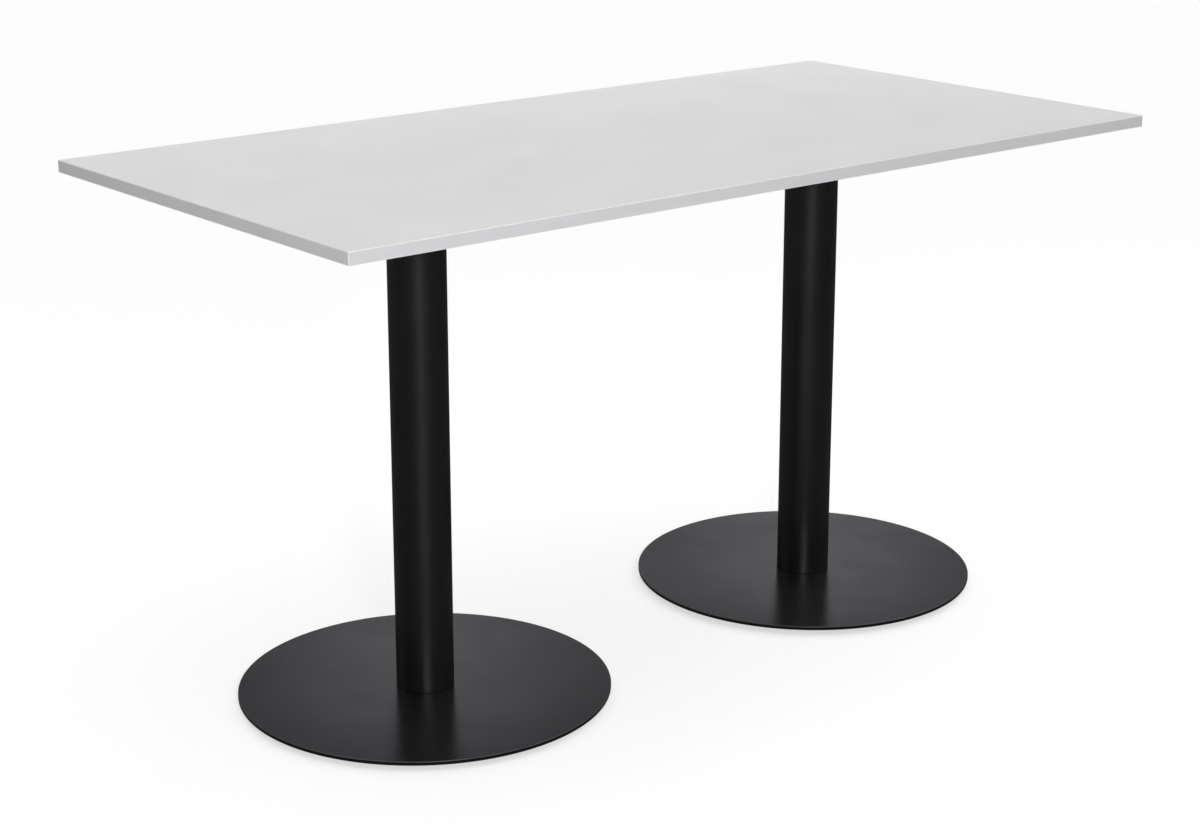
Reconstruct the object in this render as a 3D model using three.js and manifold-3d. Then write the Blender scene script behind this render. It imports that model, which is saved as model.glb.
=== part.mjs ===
// Standing-height meeting table: a laminate-faced rectangular top on two round columns with flat disc bases.
// Millimetres, +Z up, +X along the table, -Y towards the viewer, origin on the floor under the middle of the top.
import * as THREE from "three";
import { mergeVertices } from "three/addons/utils/BufferGeometryUtils.js";
import Module from "manifold-3d";

const wasm = await Module();
wasm.setup();

// Overall sizes
const TABLE_LENGTH = 2000;
const TABLE_WIDTH = 1000;
const TABLE_HEIGHT = 1060;
const PEDESTAL_SPACING = 1040;

// Table top: chipboard core, laminate on both faces, plastic edging all round
const CORE_THICKNESS = 22;
const LAMINATE_THICKNESS = 0.8;
const EDGE_BAND_THICKNESS = 2;
const EDGE_ARRIS_RADIUS = 1.5;
const TOP_CORNER_RADIUS = 2;

// Base disc
const DISC_DIAMETER = 740;
const DISC_THICKNESS = 8;
const DISC_ARRIS_RADIUS = 1.2;
const DISC_SKIN = 1.7; // metal left above the blind bores of the glides

// Column tube with the plates at its two ends
const COLUMN_DIAMETER = 114.3;
const COLUMN_WALL = 3.2;
const FOOT_PLATE_THICKNESS = 14;
const HEAD_PLATE_SIDE = 320;
const HEAD_PLATE_THICKNESS = 6;
const HEAD_PLATE_CORNER_RADIUS = 30;

// Countersunk bolts that hold the disc to the foot plate, from beneath
const BASE_BOLT_DIAMETER = 10;
const BASE_BOLT_HEAD_DIAMETER = 20;
const BASE_BOLT_HEAD_LAND = 0.5;
const BASE_BOLT_LENGTH = 20;
const BASE_BOLT_CIRCLE = 66;
const BASE_BOLT_COUNT = 4;

// Pan head screws that hold the head plate to the core
const TOP_SCREW_DIAMETER = 5;
const TOP_SCREW_HEAD_DIAMETER = 10;
const TOP_SCREW_HEAD_HEIGHT = 3.2;
const TOP_SCREW_LENGTH = 20;
const TOP_SCREW_TIP = 4;
const TOP_SCREW_SPACING = 260;

// Levelling glides: a floor pad, a threaded stud with a spanner collar and a nut welded under the disc
const GLIDE_COUNT = 4;
const GLIDE_CIRCLE = 580;
const PAD_DIAMETER = 32;
const PAD_TOP_DIAMETER = 24;
const PAD_HEIGHT = 4.5;
const PAD_RIM_HEIGHT = 1.8;
const PAD_ARRIS_RADIUS = 0.6;
const PAD_SOCKET_DEPTH = 2.5;
const STUD_DIAMETER = 8;
const STUD_CHAMFER = 0.8;
const COLLAR_ACROSS_FLATS = 13;
const COLLAR_HEIGHT = 3;
const NUT_ACROSS_FLATS = 14;
const NUT_HEIGHT = 4;

// Fits
const GLUE_LINE = 0.1; // between the core and what is glued to it
const SEAT_GAP = 0.2; // between pieces that are welded, bolted or rest on each other
const BORE_CLEARANCE = 0.3; // round every shank in its hole
const CUT_OVERRUN = 1; // how far a cutter runs past the face it opens

// Facets round a circle or a quarter circle
const DISC_SEGMENTS = 96;
const COLUMN_SEGMENTS = 48;
const PAD_SEGMENTS = 16;
const FASTENER_SEGMENTS = 12;
const CORNER_SEGMENTS = 6;
const ARRIS_SEGMENTS = 2;

// Heights above the floor, stacked upwards from the pads and downwards from the top
const COLLAR_BOTTOM = PAD_HEIGHT + SEAT_GAP;
const COLLAR_TOP = COLLAR_BOTTOM + COLLAR_HEIGHT;
const NUT_BOTTOM = COLLAR_TOP + SEAT_GAP;
const NUT_TOP = NUT_BOTTOM + NUT_HEIGHT;
const DISC_BOTTOM = NUT_TOP + SEAT_GAP;
const DISC_TOP = DISC_BOTTOM + DISC_THICKNESS;
const COLUMN_BOTTOM = DISC_TOP + SEAT_GAP;
const TOP_THICKNESS = CORE_THICKNESS + 2 * (LAMINATE_THICKNESS + GLUE_LINE);
const TOP_UNDERSIDE = TABLE_HEIGHT - TOP_THICKNESS;
const HEAD_PLATE_BOTTOM = TOP_UNDERSIDE - SEAT_GAP - HEAD_PLATE_THICKNESS;
const COLUMN_TOP = HEAD_PLATE_BOTTOM - SEAT_GAP;
const TOP_SCREW_SEAT = HEAD_PLATE_BOTTOM - SEAT_GAP;

// Finishes, as photographed
const FINISHES = {
  laminate: { color: 0xdedddb, roughness: 0.5, metalness: 0 },
  edging: { color: 0xd6d6d6, roughness: 0.45, metalness: 0 },
  chipboard: { color: 0xb8966a, roughness: 0.9, metalness: 0 },
  blackSteel: { color: 0x161616, roughness: 0.42, metalness: 0.1 },
  zincSteel: { color: 0xb4b6b8, roughness: 0.35, metalness: 1 },
  blackNylon: { color: 0x1c1c1c, roughness: 0.6, metalness: 0 },
};

function piece(name, geometry, finish) {
  const mesh = new THREE.Mesh(geometry, new THREE.MeshStandardMaterial(FINISHES[finish]));
  mesh.name = name;
  return mesh;
}

// Solids to and from the boolean library, positions only
function solidOf(geometry) {
  const bare = geometry.clone();
  bare.deleteAttribute("normal");
  bare.deleteAttribute("uv");
  const merged = mergeVertices(bare);
  const vertProperties = new Float32Array(merged.attributes.position.array);
  const triVerts = new Uint32Array(merged.index.array);
  return new wasm.Manifold(new wasm.Mesh({ numProp: 3, vertProperties, triVerts }));
}

function geometryOf(solid) {
  const mesh = solid.getMesh();
  const geometry = new THREE.BufferGeometry();
  geometry.setAttribute("position", new THREE.BufferAttribute(mesh.vertProperties, 3));
  geometry.setIndex(new THREE.BufferAttribute(mesh.triVerts, 1));
  geometry.computeVertexNormals();
  return geometry;
}

function subtract(body, cutters) {
  return geometryOf(cutters.reduce((solid, cutter) => solid.subtract(solidOf(cutter)), solidOf(body)));
}

function intersect(first, second) {
  return geometryOf(solidOf(first).intersect(solidOf(second)));
}

function join(first, second) {
  return geometryOf(solidOf(first).add(solidOf(second)));
}

// A profile in (radius, height), turned about the Z axis
function revolve(profile, segments) {
  return new THREE.LatheGeometry(profile, segments).rotateX(Math.PI / 2);
}

function extrude(shape, bottom, height) {
  const options = { depth: height, bevelEnabled: false, curveSegments: CORNER_SEGMENTS };
  return new THREE.ExtrudeGeometry(shape, options).translate(0, 0, bottom);
}

function point(radius, height) {
  return new THREE.Vector2(radius, height);
}

// Points on a quarter circle, from one angle to another, both included
function arc(centreRadius, centreHeight, radius, startAngle, endAngle) {
  const curve = new THREE.EllipseCurve(centreRadius, centreHeight, radius, radius, startAngle, endAngle);
  return curve.getPoints(ARRIS_SEGMENTS);
}

function roundedRectangle(width, depth, radius) {
  const x = width / 2 - radius;
  const y = depth / 2 - radius;
  const quarter = Math.PI / 2;
  const shape = new THREE.Shape();
  shape.absarc(x, -y, radius, -quarter, 0);
  shape.absarc(x, y, radius, 0, quarter);
  shape.absarc(-x, y, radius, quarter, 2 * quarter);
  shape.absarc(-x, -y, radius, 2 * quarter, 3 * quarter);
  return shape;
}

function hexagon(acrossFlats) {
  const cornerRadius = acrossFlats / Math.sqrt(3);
  const corners = Array.from({ length: 6 }, (_, corner) => {
    const angle = (corner * Math.PI) / 3;
    return new THREE.Vector2(cornerRadius * Math.cos(angle), cornerRadius * Math.sin(angle));
  });
  return new THREE.Shape(corners);
}

function box(width, depth, bottom, height) {
  return new THREE.BoxGeometry(width, depth, height).translate(0, 0, bottom + height / 2);
}

function pin(diameter, bottom, height) {
  const radius = diameter / 2;
  const top = bottom + height;
  const profile = [point(0, bottom), point(radius, bottom), point(radius, top), point(0, top)];
  return revolve(profile, FASTENER_SEGMENTS);
}

// Places round a pedestal's axis: on a circle between the table's axes, and at the corners of a square
function circlePlaces(diameter, count) {
  return Array.from({ length: count }, (_, index) => {
    const angle = ((index + 0.5) * 2 * Math.PI) / count;
    return [(diameter / 2) * Math.cos(angle), (diameter / 2) * Math.sin(angle)];
  });
}

function squarePlaces(spacing) {
  const half = spacing / 2;
  return [[half, half], [-half, half], [-half, -half], [half, -half]];
}

const BASE_BOLT_PLACES = circlePlaces(BASE_BOLT_CIRCLE, BASE_BOLT_COUNT);
const GLIDE_PLACES = circlePlaces(GLIDE_CIRCLE, GLIDE_COUNT);
const TOP_SCREW_PLACES = squarePlaces(TOP_SCREW_SPACING);
const PEDESTALS = { left: -PEDESTAL_SPACING / 2, right: PEDESTAL_SPACING / 2 };

function copiesAt(places, geometry) {
  return places.map(([x, y]) => geometry.clone().translate(x, y, 0));
}

// Table top
function topScrewHoles() {
  const reach = TOP_SCREW_SEAT + TOP_SCREW_LENGTH + SEAT_GAP;
  const bottom = TOP_UNDERSIDE - CUT_OVERRUN;
  const hole = pin(TOP_SCREW_DIAMETER + 2 * BORE_CLEARANCE, bottom, reach - bottom);
  const places = Object.values(PEDESTALS).flatMap((offset) => TOP_SCREW_PLACES.map(([x, y]) => [x + offset, y]));
  return copiesAt(places, hole);
}

// The outside of the finished top, with every arris rounded: the edging is its outermost layer
function roundedTopBlock() {
  const radius = EDGE_ARRIS_RADIUS;
  const plan = roundedRectangle(TABLE_LENGTH - 2 * radius, TABLE_WIDTH - 2 * radius, TOP_CORNER_RADIUS - radius);
  const options = {
    depth: TOP_THICKNESS - 2 * radius,
    bevelThickness: radius,
    bevelSize: radius,
    bevelSegments: ARRIS_SEGMENTS,
    curveSegments: ARRIS_SEGMENTS,
  };
  return new THREE.ExtrudeGeometry(plan, options).translate(0, 0, TOP_UNDERSIDE + radius);
}

function edgeBand(block, width, depth, x, y) {
  const strip = box(width, depth, TOP_UNDERSIDE - CUT_OVERRUN, TOP_THICKNESS + 2 * CUT_OVERRUN);
  return intersect(block, strip.translate(x, y, 0));
}

function tableTop() {
  const group = new THREE.Group();
  const boardLength = TABLE_LENGTH - 2 * (EDGE_BAND_THICKNESS + GLUE_LINE);
  const boardWidth = TABLE_WIDTH - 2 * (EDGE_BAND_THICKNESS + GLUE_LINE);
  const coreBottom = TOP_UNDERSIDE + LAMINATE_THICKNESS + GLUE_LINE;
  const holes = topScrewHoles();
  const core = subtract(box(boardLength, boardWidth, coreBottom, CORE_THICKNESS), holes);
  const lower = subtract(box(boardLength, boardWidth, TOP_UNDERSIDE, LAMINATE_THICKNESS), holes);
  const upper = box(boardLength, boardWidth, TABLE_HEIGHT - LAMINATE_THICKNESS, LAMINATE_THICKNESS);
  group.add(piece("top_core", core, "chipboard"));
  group.add(piece("underside_laminate", lower, "laminate"));
  group.add(piece("top_laminate", upper, "laminate"));

  const block = roundedTopBlock();
  const bandX = (TABLE_LENGTH - EDGE_BAND_THICKNESS) / 2;
  const bandY = (TABLE_WIDTH - EDGE_BAND_THICKNESS) / 2;
  const longBand = TABLE_LENGTH + 2 * CUT_OVERRUN;
  const front = edgeBand(block, longBand, EDGE_BAND_THICKNESS, 0, -bandY);
  const back = edgeBand(block, longBand, EDGE_BAND_THICKNESS, 0, bandY);
  const left = edgeBand(block, EDGE_BAND_THICKNESS, boardWidth, -bandX, 0);
  const right = edgeBand(block, EDGE_BAND_THICKNESS, boardWidth, bandX, 0);
  group.add(piece("edge_band_front", front, "edging"));
  group.add(piece("edge_band_back", back, "edging"));
  group.add(piece("edge_band_left", left, "edging"));
  group.add(piece("edge_band_right", right, "edging"));
  return group;
}

// Countersunk bolt and the hole it sits in: the hole is the bolt's profile, wider by a clearance
function countersunk(clearance, bottom, top) {
  const head = BASE_BOLT_HEAD_DIAMETER / 2 + clearance;
  const shank = BASE_BOLT_DIAMETER / 2 + clearance;
  const landTop = DISC_BOTTOM + BASE_BOLT_HEAD_LAND;
  const coneTop = landTop + head - shank;
  const profile = [
    point(0, bottom),
    point(head, bottom),
    point(head, landTop),
    point(shank, coneTop),
    point(shank, top),
    point(0, top),
  ];
  return revolve(profile, FASTENER_SEGMENTS);
}

function baseDisc() {
  const rim = DISC_DIAMETER / 2 - DISC_ARRIS_RADIUS;
  const quarter = Math.PI / 2;
  const profile = [
    point(0, DISC_BOTTOM),
    ...arc(rim, DISC_BOTTOM + DISC_ARRIS_RADIUS, DISC_ARRIS_RADIUS, -quarter, 0),
    ...arc(rim, DISC_TOP - DISC_ARRIS_RADIUS, DISC_ARRIS_RADIUS, 0, quarter),
    point(0, DISC_TOP),
  ];
  const boltHole = countersunk(BORE_CLEARANCE, DISC_BOTTOM - CUT_OVERRUN, DISC_TOP + CUT_OVERRUN);
  const boreTop = DISC_TOP - DISC_SKIN;
  const boreBottom = DISC_BOTTOM - CUT_OVERRUN;
  const studBore = pin(STUD_DIAMETER + 2 * BORE_CLEARANCE, boreBottom, boreTop - boreBottom);
  const holes = [...copiesAt(BASE_BOLT_PLACES, boltHole), ...copiesAt(GLIDE_PLACES, studBore)];
  return subtract(revolve(profile, DISC_SEGMENTS), holes);
}

function columnTube() {
  const outer = COLUMN_DIAMETER / 2;
  const inner = outer - COLUMN_WALL;
  const profile = [
    point(inner, COLUMN_BOTTOM),
    point(outer, COLUMN_BOTTOM),
    point(outer, COLUMN_TOP),
    point(inner, COLUMN_TOP),
    point(inner, COLUMN_BOTTOM),
  ];
  return revolve(profile, COLUMN_SEGMENTS);
}

function footPlate() {
  const radius = COLUMN_DIAMETER / 2 - COLUMN_WALL - BORE_CLEARANCE;
  const top = COLUMN_BOTTOM + FOOT_PLATE_THICKNESS;
  const profile = [point(0, COLUMN_BOTTOM), point(radius, COLUMN_BOTTOM), point(radius, top), point(0, top)];
  const tapped = pin(
    BASE_BOLT_DIAMETER + 2 * BORE_CLEARANCE,
    COLUMN_BOTTOM - CUT_OVERRUN,
    FOOT_PLATE_THICKNESS + 2 * CUT_OVERRUN,
  );
  return subtract(revolve(profile, COLUMN_SEGMENTS), copiesAt(BASE_BOLT_PLACES, tapped));
}

function headPlate() {
  const outline = roundedRectangle(HEAD_PLATE_SIDE, HEAD_PLATE_SIDE, HEAD_PLATE_CORNER_RADIUS);
  const hole = pin(
    TOP_SCREW_DIAMETER + 2 * BORE_CLEARANCE,
    HEAD_PLATE_BOTTOM - CUT_OVERRUN,
    HEAD_PLATE_THICKNESS + 2 * CUT_OVERRUN,
  );
  return subtract(extrude(outline, HEAD_PLATE_BOTTOM, HEAD_PLATE_THICKNESS), copiesAt(TOP_SCREW_PLACES, hole));
}

function topScrew() {
  const head = TOP_SCREW_HEAD_DIAMETER / 2;
  const shank = TOP_SCREW_DIAMETER / 2;
  const dome = new THREE.EllipseCurve(0, TOP_SCREW_SEAT, head, TOP_SCREW_HEAD_HEIGHT, -Math.PI / 2, 0);
  const profile = [
    ...dome.getPoints(ARRIS_SEGMENTS),
    point(shank, TOP_SCREW_SEAT),
    point(shank, TOP_SCREW_SEAT + TOP_SCREW_LENGTH - TOP_SCREW_TIP),
    point(0, TOP_SCREW_SEAT + TOP_SCREW_LENGTH),
  ];
  return revolve(profile, FASTENER_SEGMENTS);
}

function glideNut() {
  const outline = hexagon(NUT_ACROSS_FLATS);
  const bore = pin(STUD_DIAMETER + 2 * BORE_CLEARANCE, NUT_BOTTOM - CUT_OVERRUN, NUT_HEIGHT + 2 * CUT_OVERRUN);
  return subtract(extrude(outline, NUT_BOTTOM, NUT_HEIGHT), [bore]);
}

function glideStud() {
  const radius = STUD_DIAMETER / 2;
  const bottom = PAD_HEIGHT - PAD_SOCKET_DEPTH + SEAT_GAP;
  const top = DISC_TOP - DISC_SKIN - SEAT_GAP;
  const profile = [
    point(0, bottom),
    point(radius - STUD_CHAMFER, bottom),
    point(radius, bottom + STUD_CHAMFER),
    point(radius, top - STUD_CHAMFER),
    point(radius - STUD_CHAMFER, top),
    point(0, top),
  ];
  const collar = extrude(hexagon(COLLAR_ACROSS_FLATS), COLLAR_BOTTOM, COLLAR_HEIGHT);
  return join(revolve(profile, FASTENER_SEGMENTS), collar);
}

function glidePad() {
  const foot = PAD_DIAMETER / 2;
  const socket = STUD_DIAMETER / 2 + BORE_CLEARANCE;
  const socketFloor = PAD_HEIGHT - PAD_SOCKET_DEPTH;
  const profile = [
    point(0, 0),
    ...arc(foot - PAD_ARRIS_RADIUS, PAD_ARRIS_RADIUS, PAD_ARRIS_RADIUS, -Math.PI / 2, 0),
    point(foot, PAD_RIM_HEIGHT),
    point(PAD_TOP_DIAMETER / 2, PAD_HEIGHT),
    point(socket, PAD_HEIGHT),
    point(socket, socketFloor),
    point(0, socketFloor),
  ];
  return revolve(profile, PAD_SEGMENTS);
}

// One pedestal, about its own column axis
function pedestal(side) {
  const group = new THREE.Group();
  group.position.x = PEDESTALS[side];
  const repeated = (name, geometry, finish, places) => {
    places.forEach(([x, y], index) => {
      const mesh = piece(`${side}_${name}_${index + 1}`, geometry.clone(), finish);
      mesh.position.set(x, y, 0);
      group.add(mesh);
    });
  };
  group.add(piece(`${side}_base_disc`, baseDisc(), "blackSteel"));
  group.add(piece(`${side}_column`, columnTube(), "blackSteel"));
  group.add(piece(`${side}_foot_plate`, footPlate(), "blackSteel"));
  group.add(piece(`${side}_head_plate`, headPlate(), "blackSteel"));
  const bolt = countersunk(0, DISC_BOTTOM, DISC_BOTTOM + BASE_BOLT_LENGTH);
  repeated("base_bolt", bolt, "zincSteel", BASE_BOLT_PLACES);
  repeated("top_screw", topScrew(), "zincSteel", TOP_SCREW_PLACES);
  repeated("glide_nut", glideNut(), "zincSteel", GLIDE_PLACES);
  repeated("glide_stud", glideStud(), "zincSteel", GLIDE_PLACES);
  repeated("glide_pad", glidePad(), "blackNylon", GLIDE_PLACES);
  return group;
}

const table = new THREE.Group();
table.add(tableTop());
table.add(...Object.keys(PEDESTALS).map(pedestal));

export default table;
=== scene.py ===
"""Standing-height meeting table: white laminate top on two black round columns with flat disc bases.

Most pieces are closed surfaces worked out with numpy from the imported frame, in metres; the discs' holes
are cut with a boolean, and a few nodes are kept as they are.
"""
import logging
import math
from dataclasses import dataclass, field
from enum import Enum

import bpy
import numpy as np
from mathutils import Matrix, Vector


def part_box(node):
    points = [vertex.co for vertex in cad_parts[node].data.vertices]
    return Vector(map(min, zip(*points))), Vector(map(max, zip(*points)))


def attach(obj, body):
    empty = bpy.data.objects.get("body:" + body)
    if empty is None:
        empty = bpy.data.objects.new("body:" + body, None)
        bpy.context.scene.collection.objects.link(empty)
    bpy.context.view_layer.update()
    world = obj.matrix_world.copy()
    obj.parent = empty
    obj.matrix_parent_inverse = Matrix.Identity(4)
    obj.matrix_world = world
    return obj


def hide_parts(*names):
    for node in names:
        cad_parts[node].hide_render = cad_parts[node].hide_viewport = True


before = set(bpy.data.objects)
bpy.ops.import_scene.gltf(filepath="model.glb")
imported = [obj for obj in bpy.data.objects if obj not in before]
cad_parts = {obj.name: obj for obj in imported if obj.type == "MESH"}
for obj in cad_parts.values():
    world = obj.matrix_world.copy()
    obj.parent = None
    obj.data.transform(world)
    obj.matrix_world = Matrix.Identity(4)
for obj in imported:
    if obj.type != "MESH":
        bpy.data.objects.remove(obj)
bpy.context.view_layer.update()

LOG = logging.getLogger("meeting_table")
MILLIMETRE = 0.001
QUARTER_TURN = math.pi / 2
FULL_TURN = 2 * math.pi
SIDES = ("left", "right")
ROOT_BODY = "table"
ARRIS = "arris"  # point attribute: 1 on a rounded edge, 0 on a flat face
SUPPORT = 0.35 * MILLIMETRE  # from a rounded edge to the ring that keeps the face beside it flat
SHARP_TURN = 35.0  # degrees; an edge that turns by more stays sharp
LOBES = 6
LOBE_SWING = 0.14  # how far a lobed recess swings in and out, as a share of its middle radius
Colour = tuple[float, float, float]
Spot = tuple[float, float, float]
Point = tuple[float, float]
Span = tuple[float, float]
WHOLE: Span = (0.0, 1.0)


class Closing(Enum):
    """How a stack of rings is closed: flat caps on both ends, or the last ring joined to the first."""

    CAPS = "caps"
    LOOP = "loop"


class Reach(Enum):
    """What a studio light acts on: everything, only what mirrors it, or only matt colour."""

    ALL = "all"
    MIRRORED = "mirrored"
    MATT = "matt"


class Outline(Enum):
    """Shape of a ring seen along its axis."""

    CIRCLE = "circle"
    HEXAGON = "hexagon"
    SIX_LOBE = "six_lobe"


def ring_angles(segments: int) -> np.ndarray:
    """Gives evenly spaced angles round a full turn, in radians."""
    return np.arange(segments) * FULL_TURN / segments


def unit_outline(outline: Outline, angles: np.ndarray) -> np.ndarray:
    """Gives the radius of an outline at each angle, with its outermost points at 1.

    A hexagon's radius is cos(30 deg) over the cosine of the angle from the nearest flat's middle.
    A lobed recess is a circle whose radius swings with the cosine of six times the angle.

    Args:
        outline: The shape.
        angles: Angles in radians.

    Returns:
        One radius for each angle.
    """
    if outline is Outline.HEXAGON:
        from_flat = np.mod(angles, math.pi / 3) - math.pi / 6
        return math.cos(math.pi / 6) / np.cos(from_flat)
    if outline is Outline.SIX_LOBE:
        return (1 + LOBE_SWING * np.cos(LOBES * angles)) / (1 + LOBE_SWING)
    return np.ones_like(angles)


def about_axis(radius: np.ndarray, angles: np.ndarray, height: np.ndarray | float) -> np.ndarray:
    """Gives points round Z: x and y are the radius times the angle's cosine and sine.

    Args:
        radius: Radius of each point, rings by angles.
        angles: One angle for each point of a ring, in radians.
        height: Heights, as many as the radii, one for each ring or one for all.

    Returns:
        Array of rings, points on a ring and coordinates.
    """
    z = np.broadcast_to(height, radius.shape)
    return np.stack([radius * np.cos(angles), radius * np.sin(angles), z], axis=-1)


@dataclass
class Profile:
    """A line of (distance, height) points with rounded corners.

    Attributes:
        points: Array of points, one row each.
        arris: One value for each point, 1 where the point lies on a rounded corner.
    """

    points: np.ndarray
    arris: np.ndarray

    @classmethod
    def plain(cls, points: list[Point] | np.ndarray) -> "Profile":
        """Gives a line with sharp corners."""
        return cls(np.array(points, dtype=float), np.zeros(len(points)))

    @classmethod
    def rounded(cls, corners: list[Point], radii: list[float], steps: int, loop: bool = False) -> "Profile":
        """Rounds the corners of a polyline with circular arcs.

        Each arc runs from tangent point to tangent point by turning the radius vector at a steady
        rate. A support point beyond each tangent keeps the flat faces flat when they are smooth shaded.

        Args:
            corners: The sharp corners, in order.
            radii: One radius for each corner, 0 for a sharp one.
            steps: Steps in each arc.
            loop: Whether the line closes on itself.

        Returns:
            The rounded line.
        """
        turn = np.linspace(0.0, 1.0, steps + 1)
        places = np.array(corners, dtype=float)
        stretches: list[np.ndarray] = []
        marks: list[np.ndarray] = []
        for index, (corner, radius) in enumerate(zip(places, radii)):
            is_end = not loop and index in (0, len(places) - 1)
            if radius <= 0 or is_end:
                stretches.append(corner[None, :])
                marks.append(np.zeros(1))
                continue
            back = places[index - 1] - corner
            ahead = places[(index + 1) % len(places)] - corner
            back /= np.linalg.norm(back)
            ahead /= np.linalg.norm(ahead)
            half = 0.5 * math.acos(float(np.clip(back @ ahead, -1, 1)))
            tangent = radius / math.tan(half)
            centre = corner + (back + ahead) / np.linalg.norm(back + ahead) * radius / math.sin(half)
            first = corner + back * tangent - centre
            last = corner + ahead * tangent - centre
            sweep = math.pi - 2 * half
            swing = np.sin((1 - turn) * sweep)[:, None] * first + np.sin(turn * sweep)[:, None] * last
            rounded = centre + swing / math.sin(sweep)
            before = corner + back * (tangent + SUPPORT)
            after = corner + ahead * (tangent + SUPPORT)
            stretches.append(np.vstack([before, rounded, after]))
            marks.append(np.concatenate([[0.0], np.ones(steps + 1), [0.0]]))
        return cls(np.vstack(stretches), np.concatenate(marks))


@dataclass
class Rings:
    """A stack of closed rings, which makes one closed surface.

    Attributes:
        points: Array of rings, points on a ring and coordinates.
        arris: Array of one value for each point.
    """

    points: np.ndarray
    arris: np.ndarray

    @classmethod
    def unmarked(cls, points: np.ndarray) -> "Rings":
        """Gives rings without a rounded edge to mark."""
        return cls(points, np.zeros(points.shape[:2]))

    @classmethod
    def turned(cls, profile: Profile, segments: int, outline: Outline = Outline.CIRCLE) -> "Rings":
        """Turns a (radius, height) profile about Z, with each radius times the outline's.

        Args:
            profile: The line to turn.
            segments: Points round the axis.
            outline: Shape of each ring.

        Returns:
            One ring for each point of the profile.
        """
        angles = ring_angles(segments)
        radius = profile.points[:, :1] * unit_outline(outline, angles)
        points = about_axis(radius, angles, profile.points[:, 1:])
        return cls(points, np.broadcast_to(profile.arris[:, None], radius.shape))

    @classmethod
    def plate(cls, half: Point, corner: float, profile: Profile, steps: int) -> "Rings":
        """Lofts a rounded rectangle through an (inset, height) profile.

        Each ring is four quarter circles about fixed centres, whose radius is the corner radius less
        the inset, so that the outline shrinks evenly.

        Args:
            half: Half the length and half the width.
            corner: Corner radius in plan.
            profile: Inset from the outline and height of each ring.
            steps: Steps in each corner.

        Returns:
            One ring for each point of the profile.
        """
        quarters = np.arange(4)[:, None] * QUARTER_TURN
        angles = (quarters + np.linspace(0, QUARTER_TURN, steps + 1)).ravel()
        signs = np.repeat(np.array([[1, 1], [-1, 1], [-1, -1], [1, -1]]), steps + 1, axis=0)
        centres = signs * (np.array(half) - corner)
        radius = corner - profile.points[:, :1]
        x = centres[:, 0] + radius * np.cos(angles)
        y = centres[:, 1] + radius * np.sin(angles)
        z = np.broadcast_to(profile.points[:, 1:], x.shape)
        return cls(np.stack([x, y, z], axis=-1), np.broadcast_to(profile.arris[:, None], x.shape))

    @classmethod
    def stacked(cls, *parts: "Rings") -> "Rings":
        """Sets several stacks, with as many points to a ring, one after another."""
        points = np.concatenate([part.points for part in parts])
        return cls(points, np.concatenate([part.arris for part in parts]))

    def moved(self, way: np.ndarray) -> "Rings":
        """Gives the same rings at another place."""
        return Rings(self.points + way, self.arris)

    def volume_sign(self, faces: np.ndarray) -> float:
        """Says whether the side faces point outwards, from the sum of their signed volumes.

        Args:
            faces: Corner numbers of the side faces, four each.

        Returns:
            A positive number where they point outwards.
        """
        flat = self.points.reshape(-1, 3) - self.points.reshape(-1, 3).mean(axis=0)
        a, b, c, d = (flat[faces[:, k]] for k in range(4))
        return float(np.sum(np.cross(a, b) * c) + np.sum(np.cross(a, c) * d))

    def mesh(self, name: str, closing: Closing) -> bpy.types.Mesh:
        """Makes the surface: four-sided faces between neighbouring rings, and flat caps where asked.

        Args:
            name: Name of the mesh.
            closing: How the two ends are closed.

        Returns:
            The mesh, smooth shaded with its sharp edges marked.
        """
        count, around = self.points.shape[:2]
        rows = count if closing is Closing.LOOP else count - 1
        i, j = (grid.ravel() for grid in np.mgrid[0:rows, 0:around])
        ring = i * around
        above = (i + 1) % count * around
        beside = (j + 1) % around
        faces = np.stack([ring + j, ring + beside, above + beside, above + j], axis=1)
        outwards = self.volume_sign(faces) > 0
        sides = faces if outwards else faces[:, ::-1]
        polygons = sides.tolist()
        if closing is Closing.CAPS:
            cap = np.arange(around)
            first = cap[::-1] if outwards else cap
            polygons += [first.tolist(), ((count - 1) * around + first[::-1]).tolist()]
        mesh = bpy.data.meshes.new(name)
        mesh.from_pydata(self.points.reshape(-1, 3), [], polygons)
        mark = mesh.attributes.new(ARRIS, "FLOAT", "POINT")
        mark.data.foreach_set("value", np.ascontiguousarray(self.arris, dtype=np.float32).ravel())
        finish_shading(mesh)
        return mesh


def finish_shading(mesh: bpy.types.Mesh) -> None:
    """Shades a mesh smooth, apart from its sharp edges.

    Args:
        mesh: The mesh.
    """
    mesh.polygons.foreach_set("use_smooth", np.ones(len(mesh.polygons), dtype=bool))
    mesh.set_sharp_from_angle(angle=math.radians(SHARP_TURN))
    mesh.validate()
    mesh.update()


def add_object(mesh: bpy.types.Mesh) -> bpy.types.Object:
    """Puts a mesh into the scene.

    Args:
        mesh: The mesh.

    Returns:
        Its object, of the same name.
    """
    made = bpy.data.objects.new(mesh.name, mesh)
    bpy.context.scene.collection.objects.link(made)
    return made


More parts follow.
